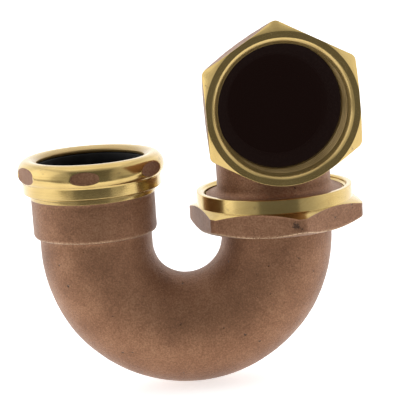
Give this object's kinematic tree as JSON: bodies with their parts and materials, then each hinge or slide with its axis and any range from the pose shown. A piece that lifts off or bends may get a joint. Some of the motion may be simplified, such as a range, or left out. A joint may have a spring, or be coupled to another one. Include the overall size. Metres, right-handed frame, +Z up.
{
  "type": "p trap",
  "caption": "Cast bronze P-trap: J-bend with a slip-joint inlet, a swivel union and an elbow with a hexagon, pipe-threaded outlet.",
  "frame": {"origin": "on the inlet's axis, in the plane of the J-bend's inlet rim", "axes": "+Z up along the inlet's axis, +X towards the union arm, outlet facing -Y"},
  "size_m": [0.1236, 0.0716, 0.1339],
  "materials": {
    "cast_bronze": "rough sand-cast bronze, matt pinkish brown, with turned brass-coloured machined faces",
    "turned_brass": "bright turned brass with fine lathe lines",
    "black_rubber": "matt black moulded rubber"
  },
  "bodies": {
    "bend": {"j_bend": "cast_bronze"},
    "elbow": {"outlet_elbow": "cast_bronze"},
    "union": {"union_nut": "cast_bronze"},
    "washer": {"slip_washer": "black_rubber"},
    "nut": {"slip_nut": "turned_brass"}
  },
  "joints": [
    {"name": "elbow_swivel", "type": "hinge", "parent": "bend", "child": "elbow", "pos_m": [0.0661, 0, 0], "axis": [0, 0, 1], "range_deg": [-35, 215]},
    {"name": "union_nut_turn", "type": "hinge", "parent": "elbow", "child": "union", "pos_m": [0.0661, 0, 0], "axis": [0, 0, 1], "range_deg": [-30, 0]},
    {"name": "slip_washer_lift", "type": "slide", "parent": "bend", "child": "washer", "axis": [0, 0, 1], "range_m": [0, 0.00553]},
    {"name": "slip_nut_turn", "type": "hinge", "parent": "washer", "child": "nut", "pos_m": [0, 0, 0], "axis": [0, 0, 1], "range_deg": [0, 900]}
  ],
  "couplings": [
    {"joint": "slip_washer_lift", "follows": "slip_nut_turn", "m_per_rad": 0.00035152}
  ]
}
